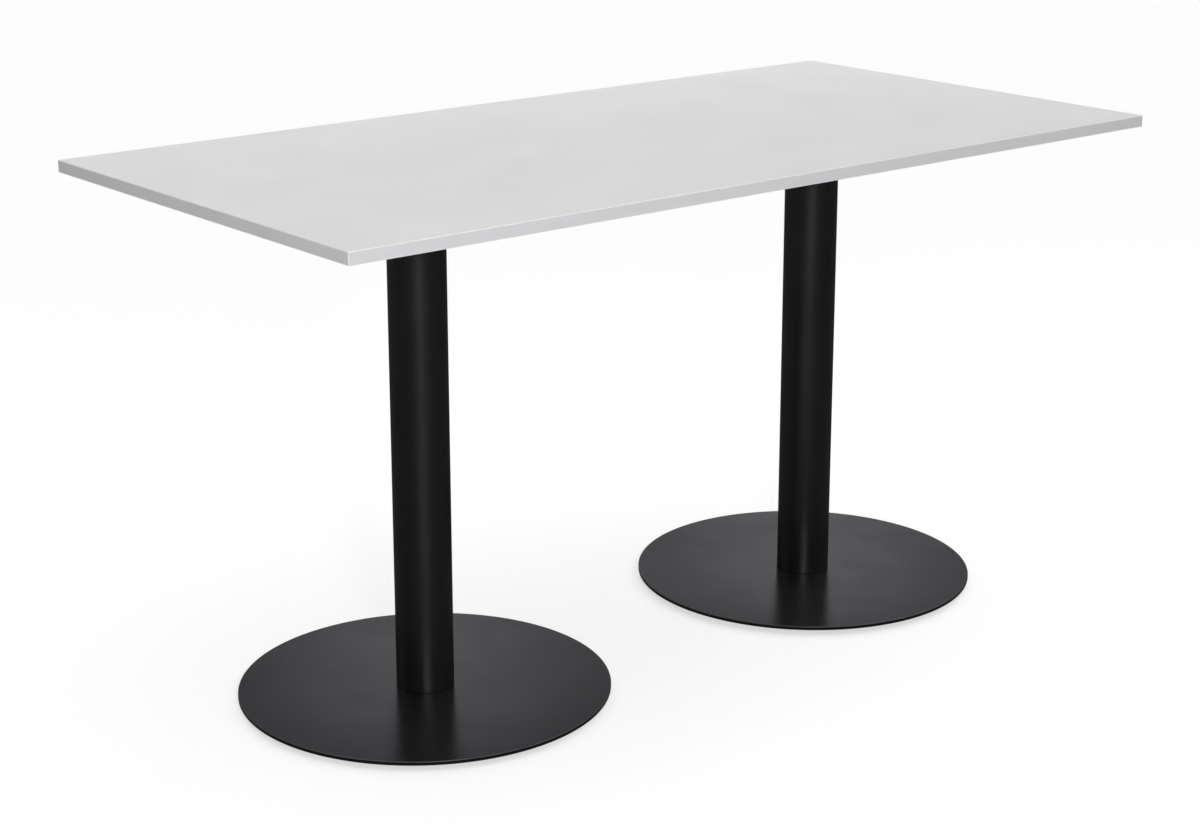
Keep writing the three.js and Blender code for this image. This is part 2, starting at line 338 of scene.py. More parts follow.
def cut(mesh: bpy.types.Mesh, cutters: list[bpy.types.Mesh]) -> bpy.types.Mesh:
    """Cuts holes in a mesh and removes the cutters.

    Args:
        mesh: The body.
        cutters: Closed meshes that don't touch each other.

    Returns:
        The body with its holes, under the same name.
    """
    name = mesh.name
    body = add_object(mesh)
    tools = [add_object(cutter) for cutter in cutters]
    for tool in tools:
        step = body.modifiers.new(tool.name, "BOOLEAN")
        step.operation = "DIFFERENCE"
        step.solver = "EXACT"
        step.object = tool
    graph = bpy.context.evaluated_depsgraph_get()
    result = bpy.data.meshes.new_from_object(body.evaluated_get(graph), depsgraph=graph)
    for spare in (body, *tools):
        data = spare.data
        bpy.data.objects.remove(spare)
        bpy.data.meshes.remove(data)
    result.name = name
    finish_shading(result)
    return result


class NodeTree:
    """A shader node tree with short calls for adding and linking nodes."""

    def __init__(self, tree: bpy.types.NodeTree) -> None:
        """Takes over a tree, emptied."""
        self.tree = tree
        tree.nodes.clear()

    def add(self, kind: str, **settings: object) -> bpy.types.Node:
        """Adds a node.

        Args:
            kind: Blender's node type.
            settings: Attributes of the node.

        Returns:
            The new node.
        """
        node = self.tree.nodes.new(kind)
        for key, value in settings.items():
            setattr(node, key, value)
        return node

    def give(self, socket: bpy.types.NodeSocket, value: object) -> None:
        """Links an output to an input, or sets a plain value there.

        Args:
            socket: The input.
            value: An output socket, or the value.
        """
        if isinstance(value, bpy.types.NodeSocket):
            self.tree.links.new(value, socket)
        else:
            socket.default_value = value

    def feed(self, node: bpy.types.Node, **inputs: object) -> None:
        """Sets or links a node's inputs by name, with spaces written as underscores."""
        for key, value in inputs.items():
            self.give(node.inputs[key.replace("_", " ")], value)

    def noise(self, vector: bpy.types.NodeSocket, scale: object, detail: float) -> bpy.types.NodeSocket:
        """Adds a noise texture.

        Args:
            vector: Where the noise is read.
            scale: Lumps to the metre, a value or a socket.
            detail: Octaves of finer noise.

        Returns:
            The noise's value.
        """
        node = self.add("ShaderNodeTexNoise")
        self.feed(node, Vector=vector, Scale=scale, Detail=detail)
        return node.outputs[0]

    def math(self, operation: str, first: object, second: object) -> bpy.types.NodeSocket:
        """Adds a math node, whose result is kept between 0 and 1.

        Args:
            operation: Blender's name of the operation.
            first: A value or a socket.
            second: A value or a socket.

        Returns:
            The result.
        """
        node = self.add("ShaderNodeMath", operation=operation, use_clamp=True)
        for socket, value in zip(node.inputs, (first, second)):
            self.give(socket, value)
        return node.outputs[0]

    def remap(self, value: bpy.types.NodeSocket, source: Span, target: Span) -> bpy.types.NodeSocket:
        """Maps a value from one range to another, with no way past the ends.

        Args:
            value: The value.
            source: The range that it comes from.
            target: The range that it goes to.

        Returns:
            The mapped value.
        """
        node = self.add("ShaderNodeMapRange")
        self.feed(node, Value=value, From_Min=source[0], From_Max=source[1])
        self.feed(node, To_Min=target[0], To_Max=target[1])
        return node.outputs[0]

    def mix(self, factor: bpy.types.NodeSocket, first: object, second: object) -> bpy.types.NodeSocket:
        """Mixes two colours, each a socket or a plain colour.

        Args:
            factor: The share of the second colour.
            first: The first colour.
            second: The second colour.

        Returns:
            The mixed colour.
        """
        node = self.add("ShaderNodeMix", data_type="RGBA")
        self.give(node.inputs[0], factor)
        colour_inputs = [socket for socket in node.inputs if socket.type == "RGBA"]
        for socket, value in zip(colour_inputs, (first, second)):
            self.give(socket, value if isinstance(value, bpy.types.NodeSocket) else (*value, 1.0))
        return next(socket for socket in node.outputs if socket.type == "RGBA")

    def end(self, kind: str, shader: bpy.types.Node) -> None:
        """Links a shader to an output node of a kind."""
        self.give(self.add(kind).inputs["Surface"], shader.outputs[0])


class SurfaceGroups:
    """Shader node groups that several finishes share, each built once.

    Attributes:
        grain: Fine noise and a slow cloud.
        dust: A film on faces that look up.
        wear_and_glint: A broken line along rounded edges, which paints wear and, on some finishes, a glint.
        MOST_NOISE: Range that most of a noise's values lie in.
        FINE_DETAIL: Octaves of the fine noise.
        CLOUD_DETAIL: Octaves of the cloud.
        DUST_SLOPE: Upward part of a normal, from where dust starts to a level face.
        DUST_SCALE: Dust patches to the metre.
        DUST_DETAIL: Octaves of the patches.
        DUST_NOISE: Range of the noise that the patches come from.
        DUST_COVER: Least and greatest cover of a patch.
        WEAR_AND_GLINT_SCALE: Breaks in the edge line to the metre.
        WEAR_AND_GLINT_DETAIL: Octaves of the breaks.
        WEAR_AND_GLINT_COVER: Least and greatest strength of the edge line.
    """

    MOST_NOISE: Span = (0.3, 0.7)
    FINE_DETAIL = 3.0
    CLOUD_DETAIL = 4.0
    DUST_SLOPE: Span = (0.7, 1.0)
    DUST_SCALE = 14.0
    DUST_DETAIL = 6.0
    DUST_NOISE: Span = (0.35, 0.75)
    DUST_COVER: Span = (0.4, 1.0)
    WEAR_AND_GLINT_SCALE = 60.0
    WEAR_AND_GLINT_DETAIL = 5.0
    WEAR_AND_GLINT_COVER: Span = (0.7, 1.0)

    def __init__(self) -> None:
        """Builds the groups."""
        self.grain = self.build_grain()
        self.dust = self.build_dust()
        self.wear_and_glint = self.build_wear_and_glint()

    @staticmethod
    def new_group(
        name: str, vectors: list[str], values: list[str], outputs: list[str]
    ) -> tuple[NodeTree, dict[str, bpy.types.NodeSocket], bpy.types.Node]:
        """Starts a group with named sockets.

        Args:
            name: Name of the group.
            vectors: Names of the vector inputs.
            values: Names of the value inputs.
            outputs: Names of the value outputs.

        Returns:
            The tree, what each input gives by name, and the output node.
        """
        group = bpy.data.node_groups.new(name, "ShaderNodeTree")
        for label in vectors:
            group.interface.new_socket(label, in_out="INPUT", socket_type="NodeSocketVector")
        for label in values:
            group.interface.new_socket(label, in_out="INPUT", socket_type="NodeSocketFloat")
        for label in outputs:
            group.interface.new_socket(label, in_out="OUTPUT", socket_type="NodeSocketFloat")
        tree = NodeTree(group)
        given = tree.add("NodeGroupInput").outputs
        return tree, {label: given[label] for label in vectors + values}, tree.add("NodeGroupOutput")

    def build_grain(self) -> bpy.types.NodeTree:
        """Builds the grain: fine noise for bump and a slow cloud of the same surface for tone and gloss.

        Returns:
            The group.
        """
        scales = ["Fine Scale", "Cloud Scale"]
        tree, given, result = self.new_group("surface_grain", ["Vector"], scales, ["Fine", "Cloud"])
        fine = tree.noise(given["Vector"], given["Fine Scale"], self.FINE_DETAIL)
        cloud = tree.noise(given["Vector"], given["Cloud Scale"], self.CLOUD_DETAIL)
        tree.feed(result, Fine=fine, Cloud=tree.remap(cloud, self.MOST_NOISE, WHOLE))
        return tree.tree

    def build_dust(self) -> bpy.types.NodeTree:
        """Builds the dust: a patchy film on faces that look up.

        Returns:
            The group.
        """
        tree, given, result = self.new_group("settled_dust", ["Vector", "Normal"], ["Amount"], ["Dust"])
        split = tree.add("ShaderNodeSeparateXYZ")
        tree.feed(split, Vector=given["Normal"])
        upwards = tree.remap(split.outputs["Z"], self.DUST_SLOPE, WHOLE)
        lumps = tree.noise(given["Vector"], self.DUST_SCALE, self.DUST_DETAIL)
        film = tree.math("MULTIPLY", upwards, tree.remap(lumps, self.DUST_NOISE, self.DUST_COVER))
        tree.feed(result, Dust=tree.math("MULTIPLY", film, given["Amount"]))
        return tree.tree

    def build_wear_and_glint(self) -> bpy.types.NodeTree:
        """Builds the edge line: a broken line along the rounded edges that a mesh marks, which paints wear
        and, on some finishes, a glint.

        Returns:
            The group.
        """
        tree, given, result = self.new_group("arris_wear_and_glint", ["Vector"], ["Amount"], ["Wear"])
        mark = tree.add("ShaderNodeAttribute", attribute_name=ARRIS)
        lumps = tree.noise(given["Vector"], self.WEAR_AND_GLINT_SCALE, self.WEAR_AND_GLINT_DETAIL)
        broken = tree.remap(lumps, self.MOST_NOISE, self.WEAR_AND_GLINT_COVER)
        edge_wear_and_glint = tree.math("MULTIPLY", mark.outputs["Fac"], broken)
        tree.feed(result, Wear=tree.math("MULTIPLY", edge_wear_and_glint, given["Amount"]))
        return tree.tree


@dataclass(frozen=True)
class Finish:
    """A surface finish: a base colour with slow tone and gloss changes, fine bump, dust, and an edge line
    that paints wear and, on some finishes, a glint.

    Attributes:
        name: Name of the material.
        slot: The record's material slot.
        colour: Main colour.
        tone: Colour that the slow cloud drifts to.
        dust_colour: Colour of the settled dust.
        wear_and_glint_colour: Colour along rounded edges: worn edges, and on some finishes a painted glint
            or highlight.
        gloss: Least and greatest roughness.
        fine_scale: Fine grains to the metre.
        cloud_scale: Clouds to the metre.
        bump: Depth of the fine grain in metres.
        dust: Amount of dust, 0 to 1.
        wear_and_glint: Amount of the edge line on rounded edges, 0 to 1.
        specular: Reflection level of the surface.
        tint: Colour of the reflection.
        metallic: 1 for bare metal.
    """

    name: str
    slot: str
    colour: Colour
    tone: Colour
    dust_colour: Colour
    wear_and_glint_colour: Colour
    gloss: Span
    fine_scale: float
    cloud_scale: float
    bump: float
    dust: float = 0.0
    wear_and_glint: float = 0.0
    specular: float = 0.5
    tint: Colour = (1.0, 1.0, 1.0)
    metallic: float = 0.0

    def surface(self, tree: NodeTree, vector: bpy.types.NodeSocket, cloud: bpy.types.NodeSocket) -> object:
        """Gives the clean surface's colour: the main colour drifting to the tone with the cloud."""
        return tree.mix(cloud, self.colour, self.tone)

    def height(self, tree: NodeTree, vector: bpy.types.NodeSocket, fine: bpy.types.NodeSocket) -> object:
        """Gives the height that the bump reads: the fine grain."""
        return fine

    def material(self, groups: SurfaceGroups) -> bpy.types.Material:
        """Builds the material.

        Args:
            groups: The shared node groups.

        Returns:
            The finished material.
        """
        made = bpy.data.materials.new(self.name)
        made.use_nodes = True
        tree = NodeTree(made.node_tree)
        vector = tree.add("ShaderNodeTexCoord").outputs["Object"]
        normal = tree.add("ShaderNodeNewGeometry").outputs["Normal"]
        grain = tree.add("ShaderNodeGroup", node_tree=groups.grain)
        tree.feed(grain, Vector=vector, Fine_Scale=self.fine_scale, Cloud_Scale=self.cloud_scale)
        dust = tree.add("ShaderNodeGroup", node_tree=groups.dust)
        tree.feed(dust, Vector=vector, Normal=normal, Amount=self.dust)
        wear_and_glint = tree.add("ShaderNodeGroup", node_tree=groups.wear_and_glint)
        tree.feed(wear_and_glint, Vector=vector, Amount=self.wear_and_glint)
        clean = self.surface(tree, vector, grain.outputs["Cloud"])
        # Edge colour along rounded edges: wear, and on the edging and the steel plates a painted highlight
        # or glint.
        edge_wear_and_glint = tree.mix(wear_and_glint.outputs["Wear"], clean, self.wear_and_glint_colour)
        gloss = tree.remap(grain.outputs["Cloud"], WHOLE, self.gloss)
        bump = tree.add("ShaderNodeBump")
        height = self.height(tree, vector, grain.outputs["Fine"])
        tree.feed(bump, Height=height, Distance=self.bump, Strength=1.0)
        shader = tree.add("ShaderNodeBsdfPrincipled")
        tree.feed(
            shader,
            Base_Color=tree.mix(dust.outputs["Dust"], edge_wear_and_glint, self.dust_colour),
            Roughness=tree.math("ADD", gloss, dust.outputs["Dust"]),
            Metallic=self.metallic,
            Specular_IOR_Level=self.specular,
            Specular_Tint=(*self.tint, 1.0),
            Normal=bump.outputs[0],
        )
        tree.end("ShaderNodeOutputMaterial", shader)
        return made


@dataclass(frozen=True)
class Board(Finish):
    """Raw chipboard: pressed chips of several browns.

    Attributes:
        chips: Chips to the metre.
    """

    chips: float = 160.0

    def surface(self, tree: NodeTree, vector: bpy.types.NodeSocket, cloud: bpy.types.NodeSocket) -> object:
        """Gives each chip, a Voronoi cell, a colour between the two browns.

        Args:
            tree: The material's tree.
            vector: Where the chips are read.
            cloud: Not used here.

        Returns:
            The colour.
        """
        cells = tree.add("ShaderNodeTexVoronoi")
        tree.feed(cells, Vector=vector, Scale=self.chips)
        split = tree.add("ShaderNodeSeparateColor")
        tree.feed(split, Color=cells.outputs["Color"])
        return tree.mix(split.outputs[0], self.colour, self.tone)


@dataclass(frozen=True)
class Edging(Finish):
    """Extruded plastic edging: faint lines along the edge from the scraper.

    Attributes:
        lines: Lines to the metre of height.
        line_detail: Octaves of finer lines.
        line_stretch: Scale of the lines' noise along each axis.
    """

    lines: float = 900.0
    line_detail: float = 2.0
    line_stretch: Spot = (0.02, 0.02, 1.0)

    def height(self, tree: NodeTree, vector: bpy.types.NodeSocket, fine: bpy.types.NodeSocket) -> object:
        """Gives the fine grain times noise that is stretched level, so that it reads as fine lines.

        Args:
            tree: The material's tree.
            vector: Where the lines are read.
            fine: The fine grain.

        Returns:
            The height.
        """
        stretch = tree.add("ShaderNodeMapping")
        tree.feed(stretch, Vector=vector, Scale=self.line_stretch)
        return tree.math("MULTIPLY", fine, tree.noise(stretch.outputs[0], self.lines, self.line_detail))


LAMINATE = Finish(
    name="table_laminate",
    slot="white_laminate",
    colour=(0.785, 0.785, 0.785),
    tone=(0.795, 0.795, 0.795),
    dust_colour=(0.66, 0.65, 0.63),
    wear_and_glint_colour=(0.78, 0.78, 0.78),
    gloss=(0.42, 0.50),
    fine_scale=1500.0,
    cloud_scale=9.0,
    bump=0.000012,
    dust=0.05,
    specular=0.25,
)
# Painted shade: the edging is the same white as the laminate, but its colour and tone are set darker so
# that its upright faces read as shaded. Its edge colour is a painted highlight along the rounded edges,
# standing for light caught there, partly also scraped-edge wear.
EDGING = Edging(
    name="table_edging",
    slot="white_edging",
    colour=(0.670, 0.672, 0.684),
    tone=(0.680, 0.682, 0.694),
    dust_colour=(0.64, 0.63, 0.61),
    wear_and_glint_colour=(0.84, 0.84, 0.84),
    gloss=(0.30, 0.38),
    fine_scale=900.0,
    cloud_scale=12.0,
    bump=0.00001,
    wear_and_glint=0.8,
)
CHIPBOARD = Board(
    name="pressed_chips",
    slot="chipboard",
    colour=(0.42, 0.29, 0.16),
    tone=(0.62, 0.48, 0.31),
    dust_colour=(0.6, 0.5, 0.4),
    wear_and_glint_colour=(0.6, 0.5, 0.4),
    gloss=(0.8, 0.95),
    fine_scale=500.0,
    cloud_scale=20.0,
    bump=0.0002,
)
# Its edge colour, far lighter than the coat, is a painted glint along the rounded edges of the disc's rim
# and the head plate, partly also chipped paint.
BLACK_PLATE = Finish(
    name="black_powder_plate",
    slot="black_steel",
    colour=(0.0038, 0.0038, 0.0040),
    tone=(0.0050, 0.0050, 0.0052),
    dust_colour=(0.05, 0.049, 0.047),
    wear_and_glint_colour=(0.13, 0.13, 0.132),
    gloss=(0.285, 0.31),
    fine_scale=700.0,
    cloud_scale=11.0,
    bump=0.00002,
    dust=0.02,
    wear_and_glint=0.5,
    tint=(0.80, 0.81, 1.0),
)
# Painted shade: the tube has the same powder coat as the plates, but this copy is set darker, with a
# stronger reflection, other gloss and tint, so that the columns and the discs read as differently lit.
BLACK_TUBE = Finish(
    name="black_powder_tube",
    slot="black_steel",
    colour=(0.0030, 0.0030, 0.0032),
    tone=(0.0042, 0.0042, 0.0044),
    dust_colour=(0.05, 0.049, 0.047),
    wear_and_glint_colour=(0.020, 0.020, 0.021),
    gloss=(0.36, 0.40),
    fine_scale=700.0,
    cloud_scale=11.0,
    bump=0.00002,
    wear_and_glint=0.5,
    specular=0.85,
    tint=(0.94, 0.94, 1.0),
)
ZINC = Finish(
    name="zinc_plate",
    slot="zinc_steel",
    colour=(0.58, 0.59, 0.61),
    tone=(0.66, 0.66, 0.64),
    dust_colour=(0.3, 0.3, 0.29),
    wear_and_glint_colour=(0.75, 0.75, 0.75),
    gloss=(0.26, 0.42),
    fine_scale=1800.0,
    cloud_scale=150.0,
    bump=0.00001,
    wear_and_glint=0.3,
    metallic=1.0,
)
NYLON = Finish(
    name="moulded_nylon",
    slot="black_nylon",
    colour=(0.012, 0.012, 0.012),
    tone=(0.018, 0.018, 0.018),
    dust_colour=(0.1, 0.1, 0.1),
    wear_and_glint_colour=(0.04, 0.04, 0.04),
    gloss=(0.5, 0.62),
    fine_scale=1200.0,
    cloud_scale=60.0,
    bump=0.00003,
    wear_and_glint=0.4,
)
FINISHES = (LAMINATE, EDGING, CHIPBOARD, BLACK_PLATE, BLACK_TUBE, ZINC, NYLON)


class Workshop:
    """Dresses pieces: gives each its material, its body and the nodes that it stands for.

    Attributes:
        materials: The material of each finish, by name.
    """

    def __init__(self) -> None:
        """Builds every finish's material."""
        groups = SurfaceGroups()
        self.materials = {finish.name: finish.material(groups) for finish in FINISHES}

    def paint(self, mesh: bpy.types.Mesh, finish: Finish) -> None:
        """Gives a mesh a finish's material alone."""
        mesh.materials.clear()
        mesh.materials.append(self.materials[finish.name])

    def dress(self, mesh: bpy.types.Mesh, finish: Finish, body: str, *nodes: str) -> None:
        """Turns a mesh into a finished piece.

        Args:
            mesh: The mesh, in its place.
            finish: Its finish.
            body: The body that it rides on.
            nodes: The nodes that it stands for.
        """
        self.paint(mesh, finish)
        made = add_object(mesh)
        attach(made, body)
        if nodes:
            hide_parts(*nodes)
        LOG.info("%s: %d faces, on %s, %s", made.name, len(mesh.polygons), body, finish.slot)

    def keep(self, node: str, finish: Finish) -> None:
        """Gives a node that stays as it is its finish."""
        self.paint(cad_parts[node].data, finish)
        LOG.info("%s: kept, %s", node, finish.slot)


@dataclass
class NodeBox:
    """The box round a node at rest.

    Attributes:
        low: Lowest corner.
        high: Highest corner.
    """

    low: np.ndarray
    high: np.ndarray

    @classmethod
    def of(cls, node: str) -> "NodeBox":
        """Reads a node's box from the frame."""
        low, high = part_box(node)
        return cls(np.array(low), np.array(high))

    @property
    def centre(self) -> np.ndarray:
        """Gives the middle of the box."""
        return 0.5 * (self.low + self.high)

    @property
    def axis(self) -> np.ndarray:
        """Gives the foot of the upright line through the middle."""
        return self.centre * np.array([1.0, 1.0, 0.0])

    @property
    def half(self) -> np.ndarray:
        """Gives half the size along each axis."""
        return 0.5 * (self.high - self.low)

    @property
    def radius(self) -> float:
        """Gives the outer radius of a turned piece."""
        return float(self.half[0])

    @property
    def bottom(self) -> float:
        """Gives the height of the underside."""
        return float(self.low[2])

    @property
    def top(self) -> float:
        """Gives the height of the upper face."""
        return float(self.high[2])


@dataclass
class TableTop:
    """The laminated board: wear sheet, balancing sheet, core and four edge bands.

    Attributes:
        arris: Radius of the edging's long edges.
        corner: Radius of the top's upright corners in plan.
        corner_sweep: Degrees of that corner that are modelled, short of a point at the band's end.
        sheet_arris: Broken edge of the laminate sheet.
        sheet_corner: Corner radius of the sheet in plan.
        sheet_inset: Way in to the last ring on the sheet's flat faces.
        steps: Steps in each rounded edge of the edging.
        sheet_steps: Steps in the sheet's broken edge.
    """

    arris: float = 1.5 * MILLIMETRE
    corner: float = 2.0 * MILLIMETRE
    corner_sweep: float = 86.0
    sheet_arris: float = 0.1 * MILLIMETRE
    sheet_corner: float = 0.6 * MILLIMETRE
    sheet_inset: float = 0.5 * MILLIMETRE
    steps: int = 6
    sheet_steps: int = 2

    def band_section(self, thickness: float, height: float) -> Profile:
        """Gives a band's section in (depth from the core, height), with its two outer edges rounded."""
        corners = [(0.0, 0.0), (thickness, 0.0), (thickness, height), (0.0, height)]
        return Profile.rounded(corners, [0.0, self.arris, self.arris, 0.0], self.steps, loop=True)

    def band(self, node: str, across: int, outward: int) -> bpy.types.Mesh:
        """Carries the section along one side of the board.

        At station s along the side, a point's depth is the section's depth times a factor. On a long
        band the factor falls from 1 along a quarter circle at each end, which rounds the upright corner.

        Args:
            node: The band's node, which gives its box.
            across: Index of the axis that the band's depth lies along.
            outward: 1 or -1, the way its outer face looks.

        Returns:
            The band's mesh.
        """
        box = NodeBox.of(node)
        along = 1 - across
        thickness = 2 * box.half[across]
        section = self.band_section(thickness, 2 * box.half[2])
        reach = box.half[along]
        stations = np.array([-reach, reach])
        factors = np.ones(2)
        if across == 1:
            turn = np.linspace(0.0, math.radians(self.corner_sweep), self.steps + 1)
            ends = reach - self.corner + self.corner * np.sin(turn)
            falls = 1 - (1 - np.cos(turn)) * self.corner / thickness
            stations = np.concatenate([-ends[::-1], ends])
            factors = np.concatenate([falls[::-1], falls])
        inner = box.low[across] if outward > 0 else box.high[across]
        shape = (len(stations), len(section.points))
        points = np.empty((*shape, 3))
        points[..., along] = stations[:, None]
        points[..., across] = inner + outward * factors[:, None] * section.points[:, 0]
        points[..., 2] = box.bottom + section.points[:, 1]
        arris = np.broadcast_to(section.arris, shape).copy()
        arris[factors < 1] = 1.0
        return Rings(points, arris).mesh(f"{node}_strip", Closing.CAPS)

    def wear_sheet(self, node: str) -> bpy.types.Mesh:
        """Lofts the laminate sheet's outline through a profile with a broken upper edge.

        Args:
            node: The sheet's node, which gives its box.

        Returns:
            The sheet's mesh.
        """
        box = NodeBox.of(node)
        length, width, height = box.half
        inner = self.sheet_inset
        corners = [(inner, -height), (0.0, -height), (0.0, height), (inner, height)]
        profile = Profile.rounded(corners, [0.0, 0.0, self.sheet_arris, 0.0], self.sheet_steps)
        rings = Rings.plate((length, width), self.sheet_corner, profile, self.steps)
        return rings.moved(box.centre).mesh("top_wear_sheet", Closing.CAPS)

    def build(self, shop: Workshop) -> None:
        """Builds and dresses the board.

        Args:
            shop: Gives the pieces their finishes.
        """
        shop.dress(self.wear_sheet("top_laminate"), LAMINATE, ROOT_BODY, "top_laminate")
        for side, across, outward in (("front", 1, -1), ("back", 1, 1), ("left", 0, -1), ("right", 0, 1)):
            node = f"edge_band_{side}"
            shop.dress(self.band(node, across, outward), EDGING, ROOT_BODY, node)
        shop.keep("underside_laminate", LAMINATE)
        shop.keep("top_core", CHIPBOARD)


@dataclass
class Glide:
    """A levelling glide: floor pad, threaded stud with a spanner collar, and the nut under the disc.

    Attributes:
        pad_arris: Radius of the pad's edges.
        pad_socket: Radius of the pad's socket.
        socket_depth: Depth of that socket.
        pad_shoulder: Radius of the pad's flat top.
        pad_rim: Height of the pad's upright rim.
        pad_hub: Radius of the last ring on the pad's flat faces, as a share of the face's.
        pad_steps: Steps in the pad's rounded edges.
        stud_radius: Radius over the thread.
        foot_arris: Radius of the edge of the stud's foot.
        foot_hub: Radius of the last ring under the foot, as a share of the stud's.
        foot_steps: Steps in that edge.
        pitch: Rise of the thread in a turn.
        thread_depth: Depth of the thread.
        thread_rings: Rings to a turn of the thread.
        face_share: Radius of a hexagon's end face, as a share of half its flats' distance.
        cone_slope: Degrees that the cone round a hexagon's end falls away from its face.
        nut_bore: Radius of the nut's bore.
        collar_height: Height of the stud's spanner collar.
        collar_lift: Gap between the pad and the collar.
        segments: Points round each ring.
    """

    pad_arris: float = 0.6 * MILLIMETRE
    pad_socket: float = 4.3 * MILLIMETRE
    socket_depth: float = 2.5 * MILLIMETRE
    pad_shoulder: float = 12.0 * MILLIMETRE
    pad_rim: float = 1.8 * MILLIMETRE
    pad_hub: float = 0.2
    pad_steps: int = 4
    stud_radius: float = 4.0 * MILLIMETRE
    foot_arris: float = 0.5 * MILLIMETRE
    foot_hub: float = 0.5
    foot_steps: int = 3
    pitch: float = 1.25 * MILLIMETRE
    thread_depth: float = 0.6 * MILLIMETRE
    thread_rings: int = 8
    face_share: float = 0.94
    cone_slope: float = 30.0
    nut_bore: float = 4.3 * MILLIMETRE
    collar_height: float = 3.0 * MILLIMETRE
    collar_lift: float = 0.2 * MILLIMETRE
    segments: int = 48

    def pad(self, node: str) -> bpy.types.Mesh:
        """Turns the pad's profile: rounded foot, sloping shoulder and the socket for the stud.

        Args:
            node: The pad's node, which gives its box.

        Returns:
            The pad's mesh.
        """
        box = NodeBox.of(node)
        floor = box.top - self.socket_depth
        corners = [
            (self.pad_hub * box.radius, box.bottom),
            (box.radius, box.bottom),
            (box.radius, self.pad_rim),
            (self.pad_shoulder, box.top),
            (self.pad_socket, box.top),
            (self.pad_socket, floor),
            (self.pad_hub * self.pad_socket, floor),
        ]
        radii = [0.0, self.pad_arris, self.pad_arris, self.pad_arris, 0.0, 0.0, 0.0]
        rings = Rings.turned(Profile.rounded(corners, radii, self.pad_steps), self.segments)
        return rings.moved(box.axis).mesh(f"{node}_foot", Closing.CAPS)

    def hexagon(self, corners: float, bottom: float, top: float) -> Rings:
        """Lofts a hexagon whose two ends are turned to a cone, as a spanner nut's are.

        The end face is a circle inside the flats. At each angle the cone rises from it, by a fixed
        slope times the way out, to the hexagon's side, so that its edge dips at the middle of each flat.

        Args:
            corners: Half the distance across the corners.
            bottom: Height of the lower end.
            top: Height of the upper end.

        Returns:
            Four rings, from the lower end to the upper one.
        """
        angles = ring_angles(self.segments)
        side = corners * unit_outline(Outline.HEXAGON, angles)
        face = np.full_like(angles, self.face_share * side.min())
        rise = (side - face) * math.tan(math.radians(self.cone_slope))
        radius = np.stack([face, side, side, face])
        height = np.stack([0 * rise + bottom, bottom + rise, top - rise, 0 * rise + top])
        return Rings.unmarked(about_axis(radius, angles, height))

    def thread(self, bottom: float, top: float) -> Rings:
        """Makes the thread: the radius falls by a triangle wave of (height - pitch x turns) / pitch.

        Args:
            bottom: Height of the thread's start.
            top: Height of its end.

        Returns:
            The rings of the thread, which fades out over a pitch at both ends.
        """
        rows = max(2, int(self.thread_rings * (top - bottom) / self.pitch))
        heights = np.linspace(bottom, top, rows)[:, None]
        angles = ring_angles(self.segments)
        phase = np.mod((heights - bottom) / self.pitch - angles / FULL_TURN, 1.0)
        fade = np.clip(np.minimum(heights - bottom, top - heights) / self.pitch, 0.0, 1.0)
        groove = np.abs(2 * phase - 1) * fade + (1 - fade)
        return Rings.unmarked(about_axis(self.stud_radius - self.thread_depth * groove, angles, heights))

    def stud(self, node: str, pad_top: float) -> bpy.types.Mesh:
        """Stacks the stud's foot, its hexagon collar and its thread.

        Args:
            node: The stud's node, which gives its box.
            pad_top: Height of the pad's flat top.

        Returns:
            The stud's mesh.
        """
        box = NodeBox.of(node)
        bottom = pad_top + self.collar_lift
        top = bottom + self.collar_height
        corners = [
            (self.foot_hub * self.stud_radius, box.bottom),
            (self.stud_radius, box.bottom),
            (self.stud_radius, bottom),
        ]
        profile = Profile.rounded(corners, [0.0, self.foot_arris, 0.0], self.foot_steps)
        foot = Rings.turned(profile, self.segments)
        collar = self.hexagon(box.radius, bottom, top)
        rings = Rings.stacked(foot, collar, self.thread(top, box.top))
        return rings.moved(box.axis).mesh(f"{node}_screw", Closing.CAPS)

    def nut(self, node: str) -> bpy.types.Mesh:
        """Lofts the nut's hexagon round its bore.

        Args:
            node: The nut's node, which gives its box.

        Returns:
            The nut's mesh.
        """
        box = NodeBox.of(node)
        outside = self.hexagon(box.radius, box.bottom, box.top)
        bore = Profile.plain([(self.nut_bore, box.top), (self.nut_bore, box.bottom)])
        rings = Rings.stacked(outside, Rings.turned(bore, self.segments))
        return rings.moved(box.axis).mesh(f"{node}_hexagon", Closing.LOOP)


